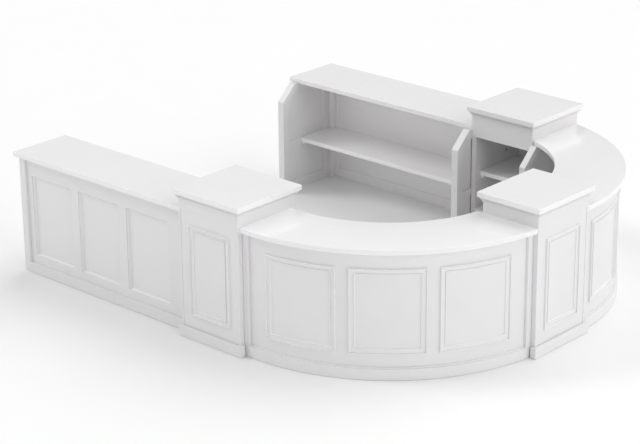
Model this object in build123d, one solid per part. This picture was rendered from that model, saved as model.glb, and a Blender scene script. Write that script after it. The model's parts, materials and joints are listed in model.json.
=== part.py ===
from build123d import *
import os
from math import acos, asin, degrees, sqrt

# Seven-module shop counter: straight A, pillar 1, curve 1, pillar 2, curve 2, pillar 3, straight B.
# The plan is drawn from pillar 1's right front corner: X runs along the front, Y goes to the back.

# Driving dimensions, mm
counter_height = 914.0
pillar_rise = 148.0         # pillar tops above the counter tops
board = 34.0                # tops and shelves
panel_board = 20.0          # frames, linings, aprons and plinths
top_depth = 495.0
straight_a_length = 1728.0
straight_b_length = 1848.0
pillar_width = 550.0
pillar_depth = 550.0
pillar_2_depth = 455.0
curve_radius = 1390.0       # outer edge of both curved tops
curve_1_centre = (83.0, 1398.0)
curve_2_centre = (80.0, 1813.0)
pillar_2_corner = (1470.0, 1264.0)
pillar_3_corner = (379.0, 3191.0)
straight_a_setback = 28.0   # top edge behind the pillar face
straight_b_setback = 52.0
top_overhang = 26.0         # top edge past the plinth face
end_overhang = 30.0         # top past the free end wing
plinth_height = 80.0
shelf_top = 420.0
edge_ease = 2.5

wing_thickness = 58.0
curve_wing_thickness = 50.0
wing_groove = 4.5           # side of the square cutter of the edge groove
wing_reach = 168.0          # staff edge of a wing past the top
wing_shoulder = 36.0        # top flat of a wing past the top
wing_bevel_drop = 126.0     # height of the sloped corner, below the top board
wing_stile = 60.0           # at the staff edge
wing_back_stile = 72.0      # next to the corner post
lining_stile = 40.0         # next to the corner post
wing_top_rail = 70.0
wing_mid_rail = 50.0
wing_relief = 9.0           # depth of the sunk fields

window_bottom = 145.0
window_top_rail = 129.0
window_gap = 79.0
window_free_stile = 52.0
window_pillar_stile = 194.0
window_count = 3
bead = 13.0
bead_slope = 9.1            # leg of the bead's sloped face

curve_1_panel_angle = 21.7
curve_2_panel_angle = 20.4
curve_panel_gap = 3.5
moulding_bottom = 176.0
moulding_top_gap = 108.0    # curved front's mouldings below the top board
moulding_width = 44.0
moulding_lip = 11.0
moulding_step = 7.0
moulding_rise = 14.0
curve_step = 10.0           # quarter step on the curved plinths

cap_thickness = 36.0
cap_overhang = 30.0
cornice_height = 34.0
cornice_steps = ((0.0, 5.0), (0.3, 9.0), (0.58, 16.0))  # share of the height, reach past the pillar
pillar_side = 38.0
corner_post = 16.0
front_inset = 3.0
pillar_plinth_proud = 18.0
pillar_plinth_return = 24.0
pillar_moulding_width = 370.0
pillar_moulding_gap = 94.0  # pillar mouldings below the counter height
apron_drop = 84.0           # staff apron's lower edge below the counter height
pillar_shelf_tops = (270.0, 552.0)
pillar_shelf_setback = 58.0

corner_batten = 36.0        # square posts in the back corners of a straight counter
batten = 25.0
cleat = 22.0
cleat_front_gap = 5.0       # cleats stop short of the boards at both ends
cleat_staff_gap = 10.0
block_count = 7             # short blocks in each row under a curved top and shelf
block_angle = 5.0
shelf_setback = 34.0        # staff edge of a shelf inside the top
shelf_play = 1.0            # side gap of a loose shelf
bolt_radius = 4.0
bolt_head_radius = 8.0
bolt_head_height = 6.0
bolt_places = ((184.0, 200.0), (184.0, 640.0), (400.0, 40.0), (400.0, 838.0))  # depth, height
hole_play = 0.25

# Worked-out sizes
pillar_height = counter_height + pillar_rise
top_underside = counter_height - board
cap_underside = pillar_height - cap_thickness
plinth_face = top_overhang
frame_face = plinth_face + panel_board
lining_face = frame_face + panel_board
lining_back = lining_face + panel_board
wing_back = top_depth + wing_reach
shelf_underside = shelf_top - board
far = 4000.0                # larger than the whole plan
ring_spare = 4.0            # degrees cut off later at the pillars
wing_bevel_foot = top_underside - wing_bevel_drop
window_top = top_underside - window_top_rail
moulding_top = top_underside - moulding_top_gap
pillar_moulding_top = counter_height - pillar_moulding_gap
apron_bottom = counter_height - apron_drop
on_base = (Align.CENTER, Align.CENTER, Align.MIN)


def block(x, y, z):
    """Box between pairs of limits."""
    size = (x[1] - x[0], y[1] - y[0], z[1] - z[0])
    return Pos(x[0], y[0], z[0]) * Box(*size, align=(Align.MIN, Align.MIN, Align.MIN))


def eased(shape, keep_sharp=lambda edge: False):
    """Round the long edges of a board by the small shop radius."""
    edges = [e for e in shape.edges() if not keep_sharp(e)]
    return fillet(edges, edge_ease)


def window_frame(x, z, y_front, depth, width):
    """Rectangular frame standing in the XZ plane."""
    outer = block(x, (y_front, y_front + depth), z)
    inner = block((x[0] + width, x[1] - width), (y_front - 1, y_front + depth + 1),
                  (z[0] + width, z[1] - width))
    return outer - inner


def stepped_moulding(x, z, y_face):
    """Picture-frame moulding on a flat face that looks toward -Y."""
    base = window_frame(x, z, y_face - moulding_step, moulding_step, moulding_width)
    lip = window_frame(x, z, y_face - moulding_rise, moulding_rise - moulding_step, moulding_lip)
    return base + lip


def wing_outline():
    """Side view of a wing in the YZ plane, with Y from the customer side to the staff side."""
    y0, y1 = plinth_face, wing_back
    shoulder = top_depth + wing_shoulder
    points = [(y0, 0), (y1, 0), (y1, wing_bevel_foot), (shoulder, top_underside), (y0, top_underside)]
    return Polyline(*points, close=True)


def wing_field(low):
    """Outline of one sunk field of a wing."""
    y0, y1 = lining_back + corner_batten + wing_back_stile, wing_back - wing_stile
    if low:
        z0, z1 = plinth_height, shelf_top - wing_mid_rail
        points = [(y0, z0), (y1, z0), (y1, z1), (y0, z1)]
    else:
        z0, z1 = shelf_top, top_underside - wing_top_rail
        slope = (top_underside - wing_bevel_foot) / (wing_reach - wing_shoulder)
        foot = wing_bevel_foot - wing_stile * (sqrt(1 + slope ** 2) - slope)
        points = [(y0, z0), (y1, z0), (y1, foot), (y1 - (z1 - foot) / slope, z1), (y0, z1)]
    return Polyline(*points, close=True)


def wing(x0, thickness=wing_thickness, grooved=False):
    """Framed end panel with a sunk field on each face, and a groove down its customer edge if asked."""
    plate = extrude(Plane.YZ * make_face(wing_outline()), thickness)
    plate = chamfer(plate.edges().filter_by(Axis.Z).sort_by(Axis.Y)[:2], edge_ease)
    if grooved:
        cutter = Rot(0, 0, 45) * Box(wing_groove, wing_groove, 2 * far)
        plate -= Pos(thickness / 2, plinth_face, 0) * cutter
    for low in (True, False):
        cut = extrude(Plane.YZ * make_face(wing_field(low)), wing_relief)
        plate -= cut + Pos(thickness - wing_relief, 0, 0) * cut
    return Pos(x0, 0, 0) * plate


def straight_module(length):
    """Straight counter with its pillar end at x = 0 and its free end toward -X."""
    free_wing = -length + end_overhang
    inner = (free_wing + wing_thickness, -wing_thickness)
    front = (inner[0], 0.0)
    stiles = window_free_stile + window_pillar_stile + window_gap * (window_count - 1)
    window_width = (-front[0] - stiles) / window_count
    windows = []
    for number in range(window_count):
        start = front[0] + window_free_stile + number * (window_width + window_gap)
        windows.append((start, start + window_width))

    top = block((-length, 0), (0, top_depth), (top_underside, counter_height))
    frame = block(front, (frame_face, lining_face), (0, top_underside))
    for x in windows:
        frame -= block(x, (frame_face - 1, lining_face + 1), (window_bottom, window_top))
    lining = block(inner, (lining_face, lining_back), (0, top_underside))
    sunk = (inner[0] + corner_batten + lining_stile, inner[1] - corner_batten - lining_stile)
    for z in ((plinth_height, shelf_underside), (shelf_top, top_underside - wing_top_rail)):
        lining -= block(sunk, (lining_back - wing_relief, lining_back + 1), z)
    beads = []
    for x in windows:
        ring = window_frame(x, (window_bottom, window_top), lining_face - bead, bead, bead)
        inside = [e for e in ring.faces().sort_by(Axis.Y)[0].inner_wires()[0].edges()]
        beads.append(chamfer(inside, bead_slope))

    shelf_x = (inner[0] + shelf_play, inner[1] - shelf_play)
    shelf_y = (lining_back + shelf_play, top_depth - shelf_setback)
    post_y = (lining_back, lining_back + corner_batten)
    cleat_y = (post_y[1] + cleat_front_gap, shelf_y[1] - cleat_staff_gap)
    behind_frame = block((-far, far), (lining_face, far), (0, far))
    battens = []
    for wall, inward in ((inner[0], 1), (inner[1], -1)):
        post_x = sorted((wall, wall + inward * corner_batten))
        cleat_x = sorted((wall, wall + inward * batten))
        battens.append(block(post_x, post_y, (0, shelf_underside)))
        battens.append(block(post_x, post_y, (shelf_top + shelf_play, top_underside)))
        battens.append(block(cleat_x, cleat_y, (shelf_underside - cleat, shelf_underside)))
        battens.append(block(cleat_x, (post_y[1], shelf_y[1]), (top_underside - batten, top_underside)))
    top_batten = (inner[0] + corner_batten, inner[1] - corner_batten)
    battens.append(block(top_batten, (lining_back, lining_back + batten),
                         (top_underside - batten, top_underside)))

    return {
        "top": eased(top, lambda e: e.center().X > -1),
        "front_frame": frame,
        "panel_beads": beads,
        "lining": lining,
        "plinth": block(front, (plinth_face, frame_face), (0, plinth_height)),
        "wing_free": wing(free_wing),
        "wing_pillar": wing(-wing_thickness) & behind_frame,
        "shelf": eased(block(shelf_x, shelf_y, (shelf_underside, shelf_top)),
                       lambda e: e.center().Y < shelf_y[1] - 1 or abs(e.center().X - sum(shelf_x) / 2) > 1),
        "battens": battens,
    }


def sector(inner_radius, outer_radius, start, end, z):
    """Upright slice of a ring round the Z axis, angles in degrees."""
    outer = CenterArc((0, 0), outer_radius, start, end - start)
    inner = CenterArc((0, 0), inner_radius, start, end - start)
    sides = Line(outer @ 1, inner @ 1) + Line(inner @ 0, outer @ 0)
    return Pos(0, 0, z[0]) * extrude(make_face(outer + inner + sides), z[1] - z[0])


def curved_moulding(start, end, face_radius):
    """Picture-frame moulding bent round the curved front."""
    z = (moulding_bottom, moulding_top)

    def layer(width, low, high):
        trim = degrees(width / face_radius)
        hollow = sector(low - 1, high + 1, start + trim, end - trim, (z[0] + width, z[1] - width))
        return sector(low, high, start, end, z) - hollow
    base = layer(moulding_width, face_radius, face_radius + moulding_step)
    lip = layer(moulding_lip, face_radius + moulding_step, face_radius + moulding_rise)
    return base + lip


def limit_angles(centre, x_min, y_limit, side):
    """Angles where the outer edge of a curved top meets the faces of its two pillars."""
    at_y = degrees(asin((y_limit - centre[1]) / curve_radius))
    at_x = side * degrees(acos((x_min - centre[0]) / curve_radius))
    return min(at_x, at_y), max(at_x, at_y)


def edge_x(centre, y):
    """X of the outer edge of a curved top at a given Y."""
    return centre[0] + sqrt(curve_radius ** 2 - (y - centre[1]) ** 2)


def edge_y(centre, x, side):
    """Y of the outer edge of a curved top at a given X."""
    return centre[1] + side * sqrt(curve_radius ** 2 - (x - centre[0]) ** 2)


def curved_module(centre, x_min, y_limit, side, panel_angle):
    """Curved counter between a pillar face at x_min and a pillar face at y_limit.

    side is -1 where the curve turns toward the front of the plan and 1 where it turns to the back.
    """
    w = curve_wing_thickness
    y_range = (y_limit, far) if side > 0 else (-far, y_limit)
    y_inner = (y_limit + w, far) if side > 0 else (-far, y_limit - w)
    clip = block((x_min, far), y_range, (-1, far))
    inside = block((x_min + w, far), y_inner, (-1, far))
    start, end = limit_angles(centre, x_min, y_limit, side)
    face_radius = curve_radius - frame_face
    back_radius = face_radius - panel_board

    def ring(inner_radius, outer_radius, z, keep):
        whole = sector(inner_radius, outer_radius, start - ring_spare, end + ring_spare, z)
        return Pos(centre[0], centre[1], 0) * whole & keep

    x_wing = wing(-w if side > 0 else 0, w, True)
    x_place = Pos(x_min, edge_y(centre, x_min + (w if side > 0 else 0), side), 0) * Rot(0, 0, 90 + 90 * side)
    y_wing = wing(0 if side > 0 else -w, w, True)
    y_place = Pos(edge_x(centre, y_limit + side * w), y_limit, 0) * Rot(0, 0, 90)

    inner_start, inner_end = limit_angles(centre, x_min + w, y_limit + side * w, side)
    middle = (inner_start + inner_end) / 2
    mouldings = []
    for number in range(window_count):
        at = middle + (number - 1) * (panel_angle + curve_panel_gap)
        shape = curved_moulding(at - panel_angle / 2, at + panel_angle / 2, face_radius)
        mouldings.append(Pos(centre[0], centre[1], 0) * shape)
    blocks = []
    pitch = (inner_end - inner_start) / block_count
    for number in range(block_count):
        at = inner_start + pitch * (number + 0.5)
        for z in ((top_underside - batten, top_underside), (shelf_underside - cleat, shelf_underside)):
            shape = sector(back_radius - batten, back_radius, at - block_angle / 2, at + block_angle / 2, z)
            blocks.append(Pos(centre[0], centre[1], 0) * shape)
    plinth_radius = curve_radius - plinth_face
    step_z = (plinth_height, plinth_height + curve_step)
    return {
        "top": ring(curve_radius - top_depth, curve_radius, (top_underside, counter_height), clip),
        "front": ring(back_radius, face_radius, (0, top_underside), inside),
        "panel_mouldings": mouldings,
        "plinth": ring(face_radius, plinth_radius, (0, plinth_height), inside)
        + ring(face_radius, plinth_radius - curve_step, step_z, inside),
        "wing_front_pillar": x_place * x_wing,
        "wing_side_pillar": y_place * y_wing,
        "shelf": ring(curve_radius - top_depth + shelf_setback, back_radius,
                      (shelf_underside, shelf_top), inside),
        "battens": blocks,
    }


def pillar_shelf(depth, z_top, setback, play):
    x = (pillar_side + play, pillar_width - pillar_side - play)
    y = (front_inset + panel_board + play, depth - setback)
    return block(x, y, (z_top - board, z_top))


def pillar(depth):
    """Square pillar with its front at y = 0 looking toward -Y and its open side at y = depth."""
    w = pillar_width
    back_of_front = front_inset + panel_board
    sides = []
    for mirror_side in (False, True):
        side = block((0, pillar_side), (0, depth), (0, cap_underside))
        side -= block((corner_post, pillar_side + 1), (-1, back_of_front), (-1, far))
        if mirror_side:
            side = Pos(w, 0, 0) * mirror(side, about=Plane.YZ)
        sides.append(side)
    between = (corner_post, w - corner_post)
    opening = (pillar_side, w - pillar_side)
    front = block(between, (front_inset, back_of_front), (0, counter_height))
    frieze = [block(between, (0, back_of_front), (counter_height, cap_underside)),
              block(opening, (depth - panel_board, depth), (apron_bottom, cap_underside))]

    proud, back = pillar_plinth_proud, pillar_plinth_return
    plinth = block((-proud, w + proud), (-proud, back), (0, plinth_height))
    plinth -= block((0, w), (0, far), (-1, far))

    cornice = None
    for rise, out in cornice_steps:
        z = (cap_underside - cornice_height * (1 - rise), cap_underside)
        layer = block((-out, w + out), (-out, depth + out), z)
        cornice = layer if cornice is None else cornice + layer
    cornice -= block((0, w), (0, depth), (-1, far))

    cap = block((-cap_overhang, w + cap_overhang), (-cap_overhang, depth + cap_overhang),
                (cap_underside, pillar_height))
    margin = (w - pillar_moulding_width) / 2
    moulding = stepped_moulding((margin, w - margin), (moulding_bottom, pillar_moulding_top), front_inset)
    cleats = []
    cleat_y = (back_of_front + cleat_front_gap, depth - pillar_shelf_setback - cleat_staff_gap)
    for z_top in pillar_shelf_tops:
        for x in ((pillar_side, pillar_side + cleat), (w - pillar_side - cleat, w - pillar_side)):
            cleats.append(block(x, cleat_y, (z_top - board - cleat, z_top - board)))
    return {
        "cap": eased(cap),
        "cornice": cornice,
        "sides": sides,
        "front": front,
        "frieze": frieze,
        "mouldings": moulding,
        "plinths": plinth,
        "deck": pillar_shelf(depth, pillar_shelf_tops[0], 0, 0),
        "shelf": pillar_shelf(depth, pillar_shelf_tops[1], pillar_shelf_setback, shelf_play),
        "cleats": cleats,
    }


def add_bolts(pieces):
    """Bolt each counter to the pillar beside it, through the wing and the pillar's side."""
    grip_straight = wing_thickness + pillar_side
    grip_curve = curve_wing_thickness + pillar_side
    p2_x, p2_y = pillar_2_corner
    p3_x, p3_y = pillar_3_corner
    # counter, wing, pillar, point on the wing's inner face, direction into the pillar, grip
    joins = [
        ("straight_a", "wing_pillar", "pillar_1",
         (-pillar_width - wing_thickness, 0), (1, 0), grip_straight),
        ("curve_1", "wing_front_pillar", "pillar_1",
         (curve_wing_thickness, 0), (-1, 0), grip_curve),
        ("curve_1", "wing_side_pillar", "pillar_2",
         (p2_x, p2_y - curve_wing_thickness), (0, 1), grip_curve),
        ("curve_2", "wing_side_pillar", "pillar_2",
         (p2_x, p2_y + pillar_width + curve_wing_thickness), (0, -1), grip_curve),
        ("curve_2", "wing_front_pillar", "pillar_3",
         (p3_x + curve_wing_thickness, p3_y), (-1, 0), grip_curve),
        ("straight_b", "wing_pillar", "pillar_3",
         (p3_x - pillar_width - wing_thickness, p3_y), (1, 0), grip_straight),
    ]
    inward = {"pillar_1": (0, 1), "pillar_2": (-1, 0), "pillar_3": (0, -1)}
    bolts = []
    for counter, wing_name, pillar_name, point, along, grip in joins:
        for depth, height in bolt_places:
            x = point[0] + inward[pillar_name][0] * depth
            y = point[1] + inward[pillar_name][1] * depth
            face = Plane((x, y, height), z_dir=(along[0], along[1], 0))
            hole = face * Pos(0, 0, -1) * Cylinder(bolt_radius + hole_play, grip + 2, align=on_base)
            for node in (f"{counter}_{wing_name}", f"{pillar_name}_sides"):
                pieces[node] = [shape - hole for shape in pieces[node]]
            head = Cylinder(bolt_head_radius, bolt_head_height, align=on_base)
            bolt = Cylinder(bolt_radius, grip + bolt_head_height, align=on_base)
            bolt += Pos(0, 0, -bolt_head_height) * head + Pos(0, 0, grip) * head
            bolts.append(face * bolt)
    pieces["connector_bolts"] = bolts


def plan():
    """All sub-parts by name, each a list of solids in the plan's own frame."""
    modules = {
        "straight_a": (Pos(-pillar_width, straight_a_setback, 0), False, straight_module(straight_a_length)),
        "pillar_1": (Pos(-pillar_width, 0, 0), False, pillar(pillar_depth)),
        "curve_1": (Pos(0, 0, 0), False, curved_module(curve_1_centre, 0.0, pillar_2_corner[1], -1,
                                                       curve_1_panel_angle)),
        "pillar_2": (Pos(*pillar_2_corner, 0) * Rot(0, 0, 90), False, pillar(pillar_2_depth)),
        "curve_2": (Pos(0, 0, 0), False, curved_module(curve_2_centre, pillar_3_corner[0],
                                                       pillar_2_corner[1] + pillar_width, 1,
                                                       curve_2_panel_angle)),
        "pillar_3": (Pos(*pillar_3_corner, 0) * Rot(0, 0, 180), False, pillar(pillar_depth)),
        "straight_b": (Pos(pillar_3_corner[0] - pillar_width, pillar_3_corner[1] - straight_b_setback, 0),
                       True, straight_module(straight_b_length)),
    }
    pieces = {}
    for module, (place, flip, parts) in modules.items():
        for name, shapes in parts.items():
            shapes = shapes if isinstance(shapes, list) else [shapes]
            if flip:
                shapes = [mirror(shape, about=Plane.XZ) for shape in shapes]
            node = f"pillar_{name}" if name in ("mouldings", "plinths", "cleats") else f"{module}_{name}"
            pieces.setdefault(node, []).extend(place * shape for shape in shapes)
    add_bolts(pieces)
    return pieces


def write(pieces):
    """Save each sub-part with the origin under the middle of the whole counter."""
    x_mid = (pillar_2_corner[0] + cap_overhang - pillar_width - straight_a_length) / 2
    y_mid = pillar_3_corner[1] / 2
    os.makedirs("parts", exist_ok=True)
    for name, shapes in pieces.items():
        solids = [Pos(-x_mid, -y_mid, 0) * solid for shape in shapes for solid in shape.solids()]
        export_step(Compound(children=solids) if len(solids) > 1 else solids[0], f"parts/{name}.step")
    print("plan middle", x_mid, y_mid)


write(plan())
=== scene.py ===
import json
import math
import bpy
import bmesh
from mathutils import Euler, Matrix, Vector


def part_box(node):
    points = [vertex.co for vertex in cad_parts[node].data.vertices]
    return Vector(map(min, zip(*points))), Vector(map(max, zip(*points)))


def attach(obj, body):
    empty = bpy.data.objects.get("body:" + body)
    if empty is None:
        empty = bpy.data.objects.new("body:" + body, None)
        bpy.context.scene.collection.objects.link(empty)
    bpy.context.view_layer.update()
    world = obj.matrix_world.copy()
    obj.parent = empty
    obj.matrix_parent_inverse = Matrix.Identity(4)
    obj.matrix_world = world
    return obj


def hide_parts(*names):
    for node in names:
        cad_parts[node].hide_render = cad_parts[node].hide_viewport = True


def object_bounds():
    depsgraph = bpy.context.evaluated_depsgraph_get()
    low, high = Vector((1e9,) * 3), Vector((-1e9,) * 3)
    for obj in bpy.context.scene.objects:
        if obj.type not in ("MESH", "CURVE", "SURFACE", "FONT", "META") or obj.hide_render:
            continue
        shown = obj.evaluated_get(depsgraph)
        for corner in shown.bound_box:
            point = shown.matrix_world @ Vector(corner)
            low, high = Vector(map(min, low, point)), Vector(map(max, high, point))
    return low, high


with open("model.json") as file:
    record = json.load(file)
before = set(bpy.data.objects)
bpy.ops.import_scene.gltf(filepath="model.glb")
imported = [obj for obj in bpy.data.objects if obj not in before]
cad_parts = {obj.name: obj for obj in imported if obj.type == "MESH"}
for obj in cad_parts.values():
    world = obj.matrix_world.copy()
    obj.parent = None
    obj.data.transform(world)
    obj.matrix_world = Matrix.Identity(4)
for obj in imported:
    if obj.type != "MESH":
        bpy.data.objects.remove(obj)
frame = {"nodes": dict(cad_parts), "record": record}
cadLow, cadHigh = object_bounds()
nodes = frame["nodes"]
slotOf = {part["node"]: part["material_slot"] for part in frame["record"]["subparts"]}
mm = 0.001
print("frame loaded:", len(nodes), "nodes")


def fromHex(code, alpha=1.0):
    # sRGB hex to the linear colour that the shaders want
    parts = [int(code[i:i + 2], 16) / 255 for i in (1, 3, 5)]
    return (*[c / 12.92 if c <= 0.04045 else ((c + 0.055) / 1.055) ** 2.4 for c in parts], alpha)


def addNode(tree, kind, settings=None, links=None):
    # settings go to a socket where one has that name or number, and to the node itself otherwise
    node = tree.nodes.new(kind)
    for key, value in (settings or {}).items():
        if isinstance(key, int) or key in node.inputs:
            node.inputs[key].default_value = value
        else:
            setattr(node, key, value)
    for key, source in (links or {}).items():
        tree.links.new(source, node.inputs[key])
    return node


def startMaterial(name):
    material = bpy.data.materials.new(name)
    material.use_nodes = True
    tree = material.node_tree
    tree.nodes.clear()
    return material, tree, addNode(tree, "ShaderNodeTexCoord").outputs["Object"]


def finishMaterial(tree, shader):
    addNode(tree, "ShaderNodeOutputMaterial", links={"Surface": shader.outputs[0]})


def newPiece(name, vertices, faces, smooth=True):
    mesh = bpy.data.meshes.new(name)
    mesh.from_pydata([tuple(v) for v in vertices], [], faces)
    bm = bmesh.new()
    bm.from_mesh(mesh)
    bmesh.ops.recalc_face_normals(bm, faces=bm.faces)
    bm.to_mesh(mesh)
    bm.free()
    piece = bpy.data.objects.new(name, mesh)
    bpy.context.scene.collection.objects.link(piece)
    if smooth:
        mesh.shade_smooth()
    return piece


def crispShading(piece, degrees=35):
    # smooth across shallow angles and crisp at the real edges
    bm = bmesh.new()
    bm.from_mesh(piece.data)
    for edge in bm.edges:
        if len(edge.link_faces) == 2 and edge.calc_face_angle(0) > math.radians(degrees):
            edge.smooth = False
    bm.to_mesh(piece.data)
    bm.free()
    return piece


def standFor(node, piece, slotName):
    # the piece rides with the counter, takes the node's finish and is shown in its place
    piece.data.materials.append(finishes[slotName])
    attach(piece, "counter")
    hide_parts(node)


# Sprayed satin lacquer on MDF: an even white with a soft, wide highlight. Up close there is a faint
# orange peel, slight cloudiness from coat to coat, and shoe scuffs and dust low down.
# "outside" is the coat on the side of a board that looks away from the staff floor; the lining's lighter base
# on the side that faces the staff floor is painted light, standing in for light in the shaded staff side.
lacquerLooks = {
    "body_lacquer": {"name": "satinLacqueredMdf", "base": "#EBEAEB", "cloud": "#E6E5E6", "scuff": "#CCC9C5",
                     "rough": (0.30, 0.40), "peel": 0.08, "scuffTop": 0.17, "scuffShare": 0.35, "ior": 1.5},
    "trim_lacquer": {"name": "satinLacqueredMoulding", "base": "#EFEEEF", "cloud": "#EAE9EA",
                     "scuff": "#D0CDC9", "rough": (0.22, 0.30), "peel": 0.05, "scuffTop": 0.12,
                     "scuffShare": 0.25, "ior": 1.5},
    # lining base painted lighter than the body white: painted light for the shaded staff side
    "inner_lacquer": {"name": "satinLacqueredLiningPaintedLight", "base": "#F9F8F8", "cloud": "#F4F3F3",
                      "scuff": "#D2CFCA", "rough": (0.42, 0.54), "peel": 0.14, "scuffTop": 0.30,
                      "scuffShare": 0.45, "ior": 1.5, "outside": "#EBEAEB"},
    # shelf base painted lighter than the body white: painted light for the shaded staff side
    "shelf_lacquer": {"name": "satinLacqueredShelfPaintedLight", "base": "#FAF9F9", "cloud": "#F5F4F4",
                      "scuff": "#D4D1CC", "rough": (0.34, 0.50), "peel": 0.12, "scuffTop": 0.60,
                      "scuffShare": 0.40, "ior": 1.5},
}
lacquerGrain = {
    "peelWidth": 9 * mm,         # real orange peel is 2 to 4 mm wide, drawn coarser so that it shows
    "cloudWidth": 260 * mm,      # one pass of a spray fan
    "scuffLength": 60 * mm,
    "scratchWidth": 3 * mm,      # real ones are 0.1 mm wide, drawn coarser so that they show
    "scratchLength": 180 * mm,
}
outwardFrom = 0.2    # metres along the normal from the middle of the plan


def satinLacquer(look):
    material, tree, place = startMaterial(look["name"])
    cloud = addNode(tree, "ShaderNodeTexNoise",
                    {"Scale": 1 / lacquerGrain["cloudWidth"], "Detail": 3.0, "Roughness": 0.55},
                    {"Vector": place}).outputs["Fac"]
    peel = addNode(tree, "ShaderNodeTexNoise",
                   {"Scale": 1 / lacquerGrain["peelWidth"], "Detail": 2.0, "Roughness": 0.45},
                   {"Vector": place}).outputs["Fac"]
    stretched = addNode(tree, "ShaderNodeMapping", {"Scale": (1.0, 1.0, 5.0), "Rotation": (0.15, 0.1, 0.0)},
                        {"Vector": place})
    marks = addNode(tree, "ShaderNodeTexNoise",
                    {"Scale": 1 / lacquerGrain["scuffLength"], "Detail": 6.0, "Roughness": 0.7},
                    {"Vector": stretched.outputs[0]})
    markMask = addNode(tree, "ShaderNodeMapRange", {"From Min": 0.56, "From Max": 0.74},
                       {"Value": marks.outputs["Fac"]})
    height = addNode(tree, "ShaderNodeSeparateXYZ", links={0: place})
    lowMask = addNode(tree, "ShaderNodeMapRange",
                      {"From Min": 0.0, "From Max": look["scuffTop"],
                       "To Min": look["scuffShare"], "To Max": 0.0},
                      {"Value": height.outputs["Z"]})
    scuff = addNode(tree, "ShaderNodeMath", {"operation": "MULTIPLY", "use_clamp": True},
                    {0: markMask.outputs[0], 1: lowMask.outputs[0]}).outputs[0]
    coat = addNode(tree, "ShaderNodeMix",
                   {"data_type": "RGBA", 6: fromHex(look["base"]), 7: fromHex(look["cloud"])}, {0: cloud})
    if "outside" in look:
        # a face looks outward where its normal points away from the middle of the plan; faces that look
        # inward keep the lighter base, painted light for the shaded staff side
        faceway = addNode(tree, "ShaderNodeNewGeometry")
        outward = addNode(tree, "ShaderNodeVectorMath", {"operation": "DOT_PRODUCT"},
                          {0: faceway.outputs["Normal"], 1: place})
        away = addNode(tree, "ShaderNodeMath", {"operation": "GREATER_THAN", 1: outwardFrom},
                       {0: outward.outputs["Value"]})
        coat = addNode(tree, "ShaderNodeMix", {"data_type": "RGBA", 7: fromHex(look["outside"])},
                       {0: away.outputs[0], 6: coat.outputs[2]})
    scuffed = addNode(tree, "ShaderNodeMix", {"data_type": "RGBA", 7: fromHex(look["scuff"])},
                      {0: scuff, 6: coat.outputs[2]})
    roughness = addNode(tree, "ShaderNodeMapRange", {"To Min": look["rough"][0], "To Max": look["rough"][1]},
                        {"Value": cloud})
    rubbed = addNode(tree, "ShaderNodeMath", {"operation": "MULTIPLY_ADD", 1: 0.25},
                     {0: scuff, 2: roughness.outputs[0]})
    bump = addNode(tree, "ShaderNodeBump", {"Strength": look["peel"], "Distance": 0.4 * mm}, {"Height": peel})
    shader = addNode(tree, "ShaderNodeBsdfPrincipled", {"IOR": look["ior"]},
                     {"Base Color": scuffed.outputs[2], "Roughness": rubbed.outputs[0],
                      "Normal": bump.outputs[0]})
    finishMaterial(tree, shader)
    return material


# Semi-gloss lacquer, rubbed out by hand: the tops mirror the pillars softly and carry hair-fine
# scratches from goods slid over them, which roughen the reflection a little.
topLook = {"base": "#F7F6F7", "cloud": "#F2F1F2", "rough": (0.13, 0.20), "scratchRough": 0.16,
           "scratches": ((0.35, 0.66), (-0.9, 0.69)),    # turn in radians, and how rare they are
           "peel": 0.035, "ior": 1.5, "coat": 0.35, "coatRough": 0.10}


def semiGlossTop(look):
    material, tree, place = startMaterial("semiGlossLacqueredTop")
    cloud = addNode(tree, "ShaderNodeTexNoise",
                    {"Scale": 1 / lacquerGrain["cloudWidth"], "Detail": 3.0, "Roughness": 0.5},
                    {"Vector": place}).outputs["Fac"]
    peel = addNode(tree, "ShaderNodeTexNoise",
                   {"Scale": 1 / lacquerGrain["peelWidth"], "Detail": 2.0, "Roughness": 0.45},
                   {"Vector": place}).outputs["Fac"]
    stretch = (1 / lacquerGrain["scratchLength"], 1 / lacquerGrain["scratchWidth"], 1.0)
    masks = []
    for turn, low in look["scratches"]:
        lengthwise = addNode(tree, "ShaderNodeMapping", {"Rotation": (0.0, 0.0, turn), "Scale": stretch},
                             {"Vector": place})
        streak = addNode(tree, "ShaderNodeTexNoise", {"Scale": 1.0, "Detail": 2.0, "Roughness": 0.5},
                         {"Vector": lengthwise.outputs[0]})
        masks.append(addNode(tree, "ShaderNodeMapRange", {"From Min": low, "From Max": low + 0.06},
                             {"Value": streak.outputs["Fac"]}))
    scratches = addNode(tree, "ShaderNodeMath", {"operation": "MAXIMUM", "use_clamp": True},
                        {0: masks[0].outputs[0], 1: masks[1].outputs[0]})
    colour = addNode(tree, "ShaderNodeMix",
                     {"data_type": "RGBA", 6: fromHex(look["base"]), 7: fromHex(look["cloud"])}, {0: cloud})
    roughness = addNode(tree, "ShaderNodeMapRange", {"To Min": look["rough"][0], "To Max": look["rough"][1]},
                        {"Value": cloud})
    rubbed = addNode(tree, "ShaderNodeMath", {"operation": "MULTIPLY_ADD", 1: look["scratchRough"]},
                     {0: scratches.outputs[0], 2: roughness.outputs[0]})
    bump = addNode(tree, "ShaderNodeBump", {"Strength": look["peel"], "Distance": 0.3 * mm}, {"Height": peel})
    shader = addNode(tree, "ShaderNodeBsdfPrincipled",
                     {"IOR": look["ior"], "Coat Weight": look["coat"], "Coat Roughness": look["coatRough"]},
                     {"Base Color": colour.outputs[2], "Roughness": rubbed.outputs[0],
                      "Normal": bump.outputs[0]})
    finishMaterial(tree, shader)
    return material


# Zinc plated steel: a cool grey metal with a dull, patchy sheen.
zincLook = {"light": "#C6C8CB", "dark": "#9EA1A5", "rough": (0.30, 0.46), "patch": 2.5 * mm}


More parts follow.
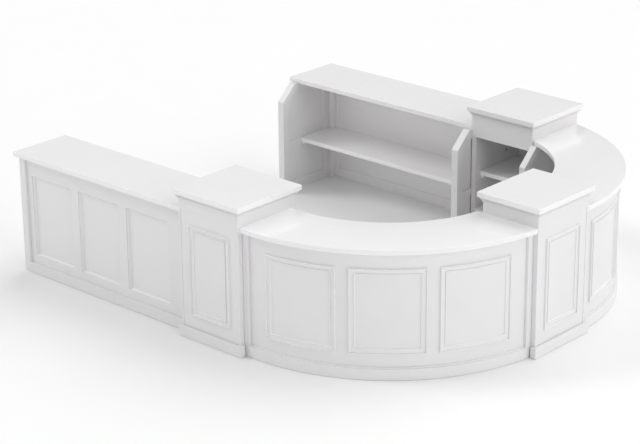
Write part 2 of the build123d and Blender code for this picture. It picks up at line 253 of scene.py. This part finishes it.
def zincPlate(look):
    material, tree, place = startMaterial("zincPlatedSteel")
    patches = addNode(tree, "ShaderNodeTexVoronoi", {"Scale": 1 / look["patch"]}, {"Vector": place})
    grain = addNode(tree, "ShaderNodeTexNoise", {"Scale": 3 / look["patch"], "Detail": 3.0},
                    {"Vector": place})
    colour = addNode(tree, "ShaderNodeMix",
                     {"data_type": "RGBA", 6: fromHex(look["light"]), 7: fromHex(look["dark"])},
                     {0: patches.outputs["Distance"]})
    roughness = addNode(tree, "ShaderNodeMapRange", {"To Min": look["rough"][0], "To Max": look["rough"][1]},
                        {"Value": grain.outputs["Fac"]})
    bump = addNode(tree, "ShaderNodeBump", {"Strength": 0.1, "Distance": 0.1 * mm},
                   {"Height": grain.outputs["Fac"]})
    shader = addNode(tree, "ShaderNodeBsdfPrincipled", {"Metallic": 1.0},
                     {"Base Color": colour.outputs[2], "Roughness": roughness.outputs[0],
                      "Normal": bump.outputs[0]})
    finishMaterial(tree, shader)
    return material


finishes = {slotName: satinLacquer(look) for slotName, look in lacquerLooks.items()}
finishes["top_lacquer"] = semiGlossTop(topLook)
finishes["zinc_steel"] = zincPlate(zincLook)
print("finishes made:", len(finishes))


def tubeFaces(count, around, closed):
    # quads between count rings of around points, joined end to end or with a flat cap at both ends
    faces = []
    if not closed:
        faces = [tuple(range(around)), tuple(range((count - 1) * around, count * around))]
    for k in range(count if closed else count - 1):
        a, b = k * around, (k + 1) % count * around
        for i in range(around):
            j = (i + 1) % around
            faces.append((a + i, a + j, b + j, b + i))
    return faces


def sweepRectangle(place, across, upright, profile, steps=1):
    # mitred picture frame: profile is a closed line of (inset from the outer edge, height off the face)
    vertices = []
    for inset, height in profile:
        u0, u1 = across[0] + inset, across[1] - inset
        v0, v1 = upright[0] + inset, upright[1] - inset
        for i in range(steps + 1):
            vertices.append(place(u0 + (u1 - u0) * i / steps, v0, height))
        for i in range(steps + 1):
            vertices.append(place(u1 - (u1 - u0) * i / steps, v1, height))
    return vertices, tubeFaces(len(profile), 2 * steps + 2, True)


def sweepPlan(low, high, profile):
    # moulding mitred round an upright box: profile is a closed line of (reach outside it, height)
    vertices = []
    for reach, z in profile:
        x0, x1, y0, y1 = low.x - reach, high.x + reach, low.y - reach, high.y + reach
        vertices += [Vector(p) for p in ((x0, y0, z), (x1, y0, z), (x1, y1, z), (x0, y1, z))]
    return vertices, tubeFaces(len(profile), 4, True)


def sweepArc(centre, profile, limits, steps):
    # board bent on plan: profile is a closed line of (radius, height), limits gives a radius its end angles
    vertices = []
    for step in range(steps + 1):
        for radius, z in profile:
            start, end = limits(radius)
            angle = start + (end - start) * step / steps
            spoke = Vector((radius * math.cos(angle), radius * math.sin(angle), z))
            vertices.append(Vector((centre.x, centre.y, 0)) + spoke)
    return vertices, tubeFaces(steps + 1, len(profile), False)


def sweepPath(path, profile):
    # board mitred along a line on plan: profile is a closed line of (reach to the right of it, height)
    normals = [Vector((b.y - a.y, a.x - b.x, 0)).normalized() for a, b in zip(path, path[1:])]
    vertices = []
    for k, corner in enumerate(path):
        before, after = normals[max(k - 1, 0)], normals[min(k, len(normals) - 1)]
        mitre = (before + after) / (1 + before.dot(after))
        vertices += [corner + mitre * reach + Vector((0, 0, z)) for reach, z in profile]
    return vertices, tubeFaces(len(path), len(profile), False)


def merged(parts):
    # several (vertices, faces) sets as one
    vertices, faces = [], []
    for somePoints, someFaces in parts:
        start = len(vertices)
        vertices += somePoints
        faces += [tuple(start + i for i in face) for face in someFaces]
    return vertices, faces


def outline(corners, steps=5):
    # closed section from corners of (across, up, radius), each rounded by an arc of its radius
    line = []
    for k, (x, z, radius) in enumerate(corners):
        if radius == 0:
            line.append((x, z))
            continue
        here = Vector((x, z))
        before = (Vector(corners[k - 1][:2]) - here).normalized()
        after = (Vector(corners[(k + 1) % len(corners)][:2]) - here).normalized()
        halfAngle = before.angle(after) / 2
        centre = here + (before + after).normalized() * radius / math.sin(halfAngle)
        first = here + before * radius / math.tan(halfAngle) - centre
        last = here + after * radius / math.tan(halfAngle) - centre
        sweep = math.pi - 2 * halfAngle
        for i in range(steps + 1):
            share = i / steps
            spoke = (first * math.sin((1 - share) * sweep) + last * math.sin(share * sweep)) / math.sin(sweep)
            line.append(tuple(centre + spoke))
    return line


def inMetres(corners):
    return [tuple(value * mm for value in corner) for corner in corners]


# Bolection moulding: a high rounded lip outside, a steep drop, a nearly flat band, a quirk and a small bead.
bolection = {
    "pillarWidth": 370 * mm,
    "curveAngles": {"curve_1": 21.7, "curve_2": 20.4}, "curveGap": 3.5, "curveCount": 3, "bendSteps": 24,
    "section": [(0, 0, 0), (2.6, 14, 2.6), (8.6, 14, 2.6), (9.4, 3, 1.6), (33, 2, 0), (33.2, 0.6, 0),
                (34.2, 0.6, 0), (34.4, 7.6, 2.2), (40.4, 7.4, 2.2), (44, 0, 0)],
}
bolectionLine = outline(inMetres(bolection["section"]))
pillarNumbers = (1, 2, 3)


def pillarFace(number):
    # middle of a pillar's front board, the way along it and the way it looks, from the CAD boxes
    low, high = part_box(f"pillar_{number}_front")
    middle = (low + high) / 2
    if number == 1:
        return Vector((middle.x, low.y, 0)), Vector((1, 0, 0)), Vector((0, -1, 0))
    if number == 2:
        return Vector((high.x, middle.y, 0)), Vector((0, 1, 0)), Vector((1, 0, 0))
    return Vector((middle.x, high.y, 0)), Vector((-1, 0, 0)), Vector((0, 1, 0))


def onPillar(number):
    origin, along, out = pillarFace(number)
    return lambda u, v, h: origin + along * u + Vector((0, 0, v)) + out * h


half = bolection["pillarWidth"] / 2
low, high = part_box("pillar_mouldings")
parts = [sweepRectangle(onPillar(number), (-half, half), (low.z, high.z), bolectionLine)
         for number in pillarNumbers]
standFor("pillar_mouldings", crispShading(newPiece("pillarBolections", *merged(parts))), "trim_lacquer")


# Both curves are drawn from the front corner of the first pillar, next to the first curve.
curves = {
    "radius": 1390 * mm, "centres": {"curve_1": (83 * mm, 1398 * mm), "curve_2": (80 * mm, 1813 * mm)},
    "side": {"curve_1": -1, "curve_2": 1}, "topDepth": 495 * mm, "wing": 50 * mm, "faceInset": 46 * mm,
    "plinthInset": 26 * mm, "stepBack": 10 * mm, "edgeRound": 3 * mm, "bendSteps": 72,
}
faceRadius = curves["radius"] - curves["faceInset"]
cornerLow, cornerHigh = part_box("pillar_1_sides")
planCorner = Vector((cornerHigh.x, cornerLow.y, 0))


def curveCentre(name):
    x, y = curves["centres"][name]
    return planCorner + Vector((x, y, 0))


def curveLimits(name, inside):
    # end angles of any radius, cut by the two pillar faces or by the wings in front of them
    centre, side = curveCentre(name), curves["side"][name]
    inset = curves["wing"] if inside else 0
    low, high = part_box(f"{name}_top")
    xLimit = low.x + inset
    yLimit = high.y - inset if side < 0 else low.y + inset

    def limits(radius):
        atX = side * math.acos((xLimit - centre.x) / radius)
        atY = math.asin((yLimit - centre.y) / radius)
        return min(atX, atY), max(atX, atY)
    return limits


def onCurve(name):
    # u is measured along the bend of the face, so that insets keep their real width
    centre = curveCentre(name)

    def place(u, v, h):
        angle, radius = u / faceRadius, faceRadius + h
        return Vector((centre.x + radius * math.cos(angle), centre.y + radius * math.sin(angle), v))
    return place


for name in curves["centres"]:
    start, end = curveLimits(name, True)(curves["radius"])
    width = math.radians(bolection["curveAngles"][name])
    turn = math.radians(bolection["curveAngles"][name] + bolection["curveGap"])
    low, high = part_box(f"{name}_panel_mouldings")
    parts = []
    for number in range(bolection["curveCount"]):
        middle = (start + end) / 2 + (number - 1) * turn
        across = ((middle - width / 2) * faceRadius, (middle + width / 2) * faceRadius)
        parts.append(sweepRectangle(onCurve(name), across, (low.z, high.z), bolectionLine,
                                    bolection["bendSteps"]))
    standFor(f"{name}_panel_mouldings", crispShading(newPiece(f"{name}_bolections", *merged(parts))),
             "trim_lacquer")
print("mouldings made")


# Sloped bead: a small flat against the frame, a long slope and a low fillet at the sunk panel.
ovolo = {"count": 3, "gap": 79 * mm,
         "section": [(0, 0, 0), (0, 13, 0), (3, 13, 1.4), (10.2, 3.6, 0), (11, 1, 0), (13, 1, 0), (13, 0, 0)]}
ovoloLine = outline(inMetres(ovolo["section"]))
straightOut = {"straight_a": -1, "straight_b": 1}    # which way along Y the customer side looks


def straightWindows(low, high):
    width = (high.x - low.x - (ovolo["count"] - 1) * ovolo["gap"]) / ovolo["count"]
    starts = [low.x + i * (width + ovolo["gap"]) for i in range(ovolo["count"])]
    return [(start, start + width) for start in starts]


def onWall(wall, out):
    return lambda u, v, h: Vector((u, wall + out * h, v))


for name, out in straightOut.items():
    low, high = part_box(f"{name}_panel_beads")
    place = onWall(high.y if out < 0 else low.y, out)
    parts = [sweepRectangle(place, across, (low.z, high.z), ovoloLine)
             for across in straightWindows(low, high)]
    standFor(f"{name}_panel_beads", crispShading(newPiece(f"{name}_ovolo", *merged(parts))), "trim_lacquer")
print("beads made")


# Cornice: a fillet at the frieze, a shadow gap, a cove, a second gap, and a square lip under the cap.
cornice = {"section": [(0, -34, 0), (5, -34, 1), (5, -28.4, 0.8), (2.4, -28.4, 0), (2.4, -26.2, 0),
                       (7.4, -24.4, 3), (10, -18.2, 3), (13.6, -17.4, 0), (13.6, -16.2, 0), (6.2, -16.2, 0),
                       (6.2, -13, 0), (16, -13, 1.4), (16, -4.4, 1.4), (6.2, -4.4, 0), (6.2, 0, 0),
                       (0, 0, 0)]}
corniceLine = outline(inMetres(cornice["section"]))
for number in pillarNumbers:
    name = f"pillar_{number}"
    low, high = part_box(f"{name}_sides")
    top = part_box(f"{name}_cornice")[1].z
    line = [(reach, top + z) for reach, z in corniceLine]
    standFor(f"{name}_cornice", crispShading(newPiece(f"{name}_coveCornice", *sweepPlan(low, high, line))),
             "trim_lacquer")
print("cornices made")


# Plinths: boards with an eased top edge and a small rebate along the floor in front.
plinthBoard = {"rebateBack": 5 * mm, "rebateUp": 4 * mm, "ease": 2 * mm, "stepRound": 4 * mm,
               "pillarProud": 18 * mm, "pillarReturn": 24 * mm}


def plinthSection(inner, outer, height, stepBack=0, stepHeight=0):
    # the curved ones carry a small rounded step on top, against the front
    back, up = outer - plinthBoard["rebateBack"], plinthBoard["rebateUp"]
    line = [(inner, 0, 0), (back, 0, 0), (back, up, 0), (outer, up, 0), (outer, height, plinthBoard["ease"])]
    if stepBack:
        line += [(outer - stepBack, height, 0), (outer - stepBack, stepHeight, plinthBoard["stepRound"])]
    return outline(line + [(inner, max(height, stepHeight), 0)])


# The curved tops and plinths get a finer bend and rounder edges than the CAD ones.
topShading = 50    # degrees, so that the rounded nose shades smoothly
for name in curves["centres"]:
    centre, radius = curveCentre(name), curves["radius"]
    low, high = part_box(f"{name}_top")
    inner, ease = radius - curves["topDepth"], curves["edgeRound"]
    line = outline([(radius, low.z, ease), (radius, high.z, ease),
                    (inner, high.z, ease), (inner, low.z, ease)])
    bent = sweepArc(centre, line, curveLimits(name, False), curves["bendSteps"])
    standFor(f"{name}_top", crispShading(newPiece(f"{name}_roundedTop", *bent), topShading), "top_lacquer")
    low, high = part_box(f"{name}_plinth")
    line = plinthSection(faceRadius, radius - curves["plinthInset"], high.z - curves["stepBack"],
                         curves["stepBack"], high.z)
    bent = sweepArc(centre, line, curveLimits(name, True), curves["bendSteps"])
    standFor(f"{name}_plinth", crispShading(newPiece(f"{name}_moulded_plinth", *bent)), "body_lacquer")
print("curved tops and plinths made")

for name, out in straightOut.items():
    low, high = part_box(f"{name}_plinth")
    wall = high.y if out < 0 else low.y
    ends = (low.x, high.x) if out < 0 else (high.x, low.x)
    path = [Vector((x, wall, 0)) for x in ends]
    board = sweepPath(path, plinthSection(0, high.y - low.y, high.z))
    standFor(f"{name}_plinth", newPiece(f"{name}_easedPlinth", *board, smooth=False), "body_lacquer")

parts = []
line = plinthSection(0, plinthBoard["pillarProud"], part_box("pillar_plinths")[1].z)
for number in pillarNumbers:
    faceMiddle, along, out = pillarFace(number)
    low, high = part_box(f"pillar_{number}_sides")
    middle, size = (low + high) / 2, (high - low) / 2
    toCorner = along * abs(along.dot(size))
    front = Vector((middle.x, middle.y, 0)) + out * abs(out.dot(size))
    back = front - out * plinthBoard["pillarReturn"]
    parts.append(sweepPath([back - toCorner, front - toCorner, front + toCorner, back + toCorner], line))
standFor("pillar_plinths", newPiece("pillarEasedPlinths", *merged(parts), smooth=False), "body_lacquer")
print("straight plinths made")


# Boards are sanded by hand before lacquer, so that each long edge catches a thin line of light.
boardEdge = {"ease": 1.3 * mm, "segments": 2, "fromDegrees": 40, "weld": 0.02 * mm, "flatFaceWeight": 100}
for name, board in nodes.items():
    if board.hide_render:
        continue
    board.data.materials.clear()
    board.data.materials.append(finishes[slotOf[name]])
    if name != "connector_bolts":
        weld = board.modifiers.new("weld", "WELD")
        weld.merge_threshold = boardEdge["weld"]
        ease = board.modifiers.new("ease", "BEVEL")
        ease.width = boardEdge["ease"]
        ease.segments = boardEdge["segments"]
        ease.limit_method = "ANGLE"
        ease.angle_limit = math.radians(boardEdge["fromDegrees"])
        flatness = board.modifiers.new("flatness", "WEIGHTED_NORMAL")
        flatness.weight = boardEdge["flatFaceWeight"]
print("boards finished")


# Seamless paper sweep: matt, nearly pure white, with a barely visible fibre.
floorLook = {"base": "#F7F7F7", "fibre": "#F5F5F5", "size": 40.0, "fibreSize": 0.4,
             "rough": 0.9, "shine": 0.1}


def paperSweep(look):
    material, tree, place = startMaterial("mattPaperSweep")
    fibre = addNode(tree, "ShaderNodeTexNoise", {"Scale": 1 / look["fibreSize"], "Detail": 4.0},
                    {"Vector": place})
    colour = addNode(tree, "ShaderNodeMix",
                     {"data_type": "RGBA", 6: fromHex(look["base"]), 7: fromHex(look["fibre"])},
                     {0: fibre.outputs["Fac"]})
    shader = addNode(tree, "ShaderNodeBsdfPrincipled",
                     {"Roughness": look["rough"], "Specular IOR Level": look["shine"]},
                     {"Base Color": colour.outputs[2]})
    finishMaterial(tree, shader)
    return material


side = floorLook["size"] / 2
corners = [(-side, -side, 0), (side, -side, 0), (side, side, 0), (-side, side, 0)]
floor = newPiece("paperFloor", corners, [(0, 1, 2, 3)])
floor.data.materials.append(paperSweep(floorLook))

# An even white surround and four far lamps: a high key behind, one low at the right, a smaller one at the
# front left that draws the edges, and a weak low fill in front.
light = {"surround": 0.38, "lamps": {
    "keyLamp": {"strength": 1.4, "toward": (0.1, 0.6, 0.79), "spreadDegrees": 60},
    "sideLamp": {"strength": 1.05, "toward": (0.92, 0.06, 0.38), "spreadDegrees": 60},
    "edgeLamp": {"strength": 0.8, "toward": (-0.6, -0.38, 0.7), "spreadDegrees": 24},
    "fillLamp": {"strength": 0.32, "toward": (0.05, -0.92, 0.38), "spreadDegrees": 60},
}}
world = bpy.data.worlds.new("studioSurround")
world.use_nodes = True
world.node_tree.nodes["Background"].inputs["Color"].default_value = (1, 1, 1, 1)
world.node_tree.nodes["Background"].inputs["Strength"].default_value = light["surround"]
bpy.context.scene.world = world
for name, choice in light["lamps"].items():
    lampData = bpy.data.lights.new(name, "SUN")
    lampData.energy = choice["strength"]
    lampData.angle = math.radians(choice["spreadDegrees"])
    lamp = bpy.data.objects.new(name, lampData)
    lamp.rotation_euler = Vector(choice["toward"]).to_track_quat("Z", "Y").to_euler()
    bpy.context.scene.collection.objects.link(lamp)
bpy.context.scene.view_settings.view_transform = "Standard"
bpy.context.scene.view_settings.look = "None"

# A long lens from high on the right: position from the middle of the floor plan, in metres.
view = {"offset": (9.450716, -10.680331, 5.874412), "yaw": 42.5514, "pitch": -21.0015, "roll": -0.5338,
        "lens": 119.62, "sensor": 36.0}
planMiddle = Vector(((cadLow.x + cadHigh.x) / 2, (cadLow.y + cadHigh.y) / 2, cadLow.z))
cameraData = bpy.data.cameras.new("camera")
cameraData.lens = view["lens"]
cameraData.sensor_width = view["sensor"]
cameraData.clip_end = 200
camera = bpy.data.objects.new("camera", cameraData)
turns = Euler((math.radians(90 + view["pitch"]), 0, math.radians(view["yaw"])), "XYZ").to_matrix()
roll = Matrix.Rotation(math.radians(view["roll"]), 3, "Z")
camera.matrix_world = Matrix.Translation(planMiddle + Vector(view["offset"])) @ (turns @ roll).to_4x4()
bpy.context.scene.collection.objects.link(camera)
bpy.context.scene.camera = camera
print("floor, light and camera set")
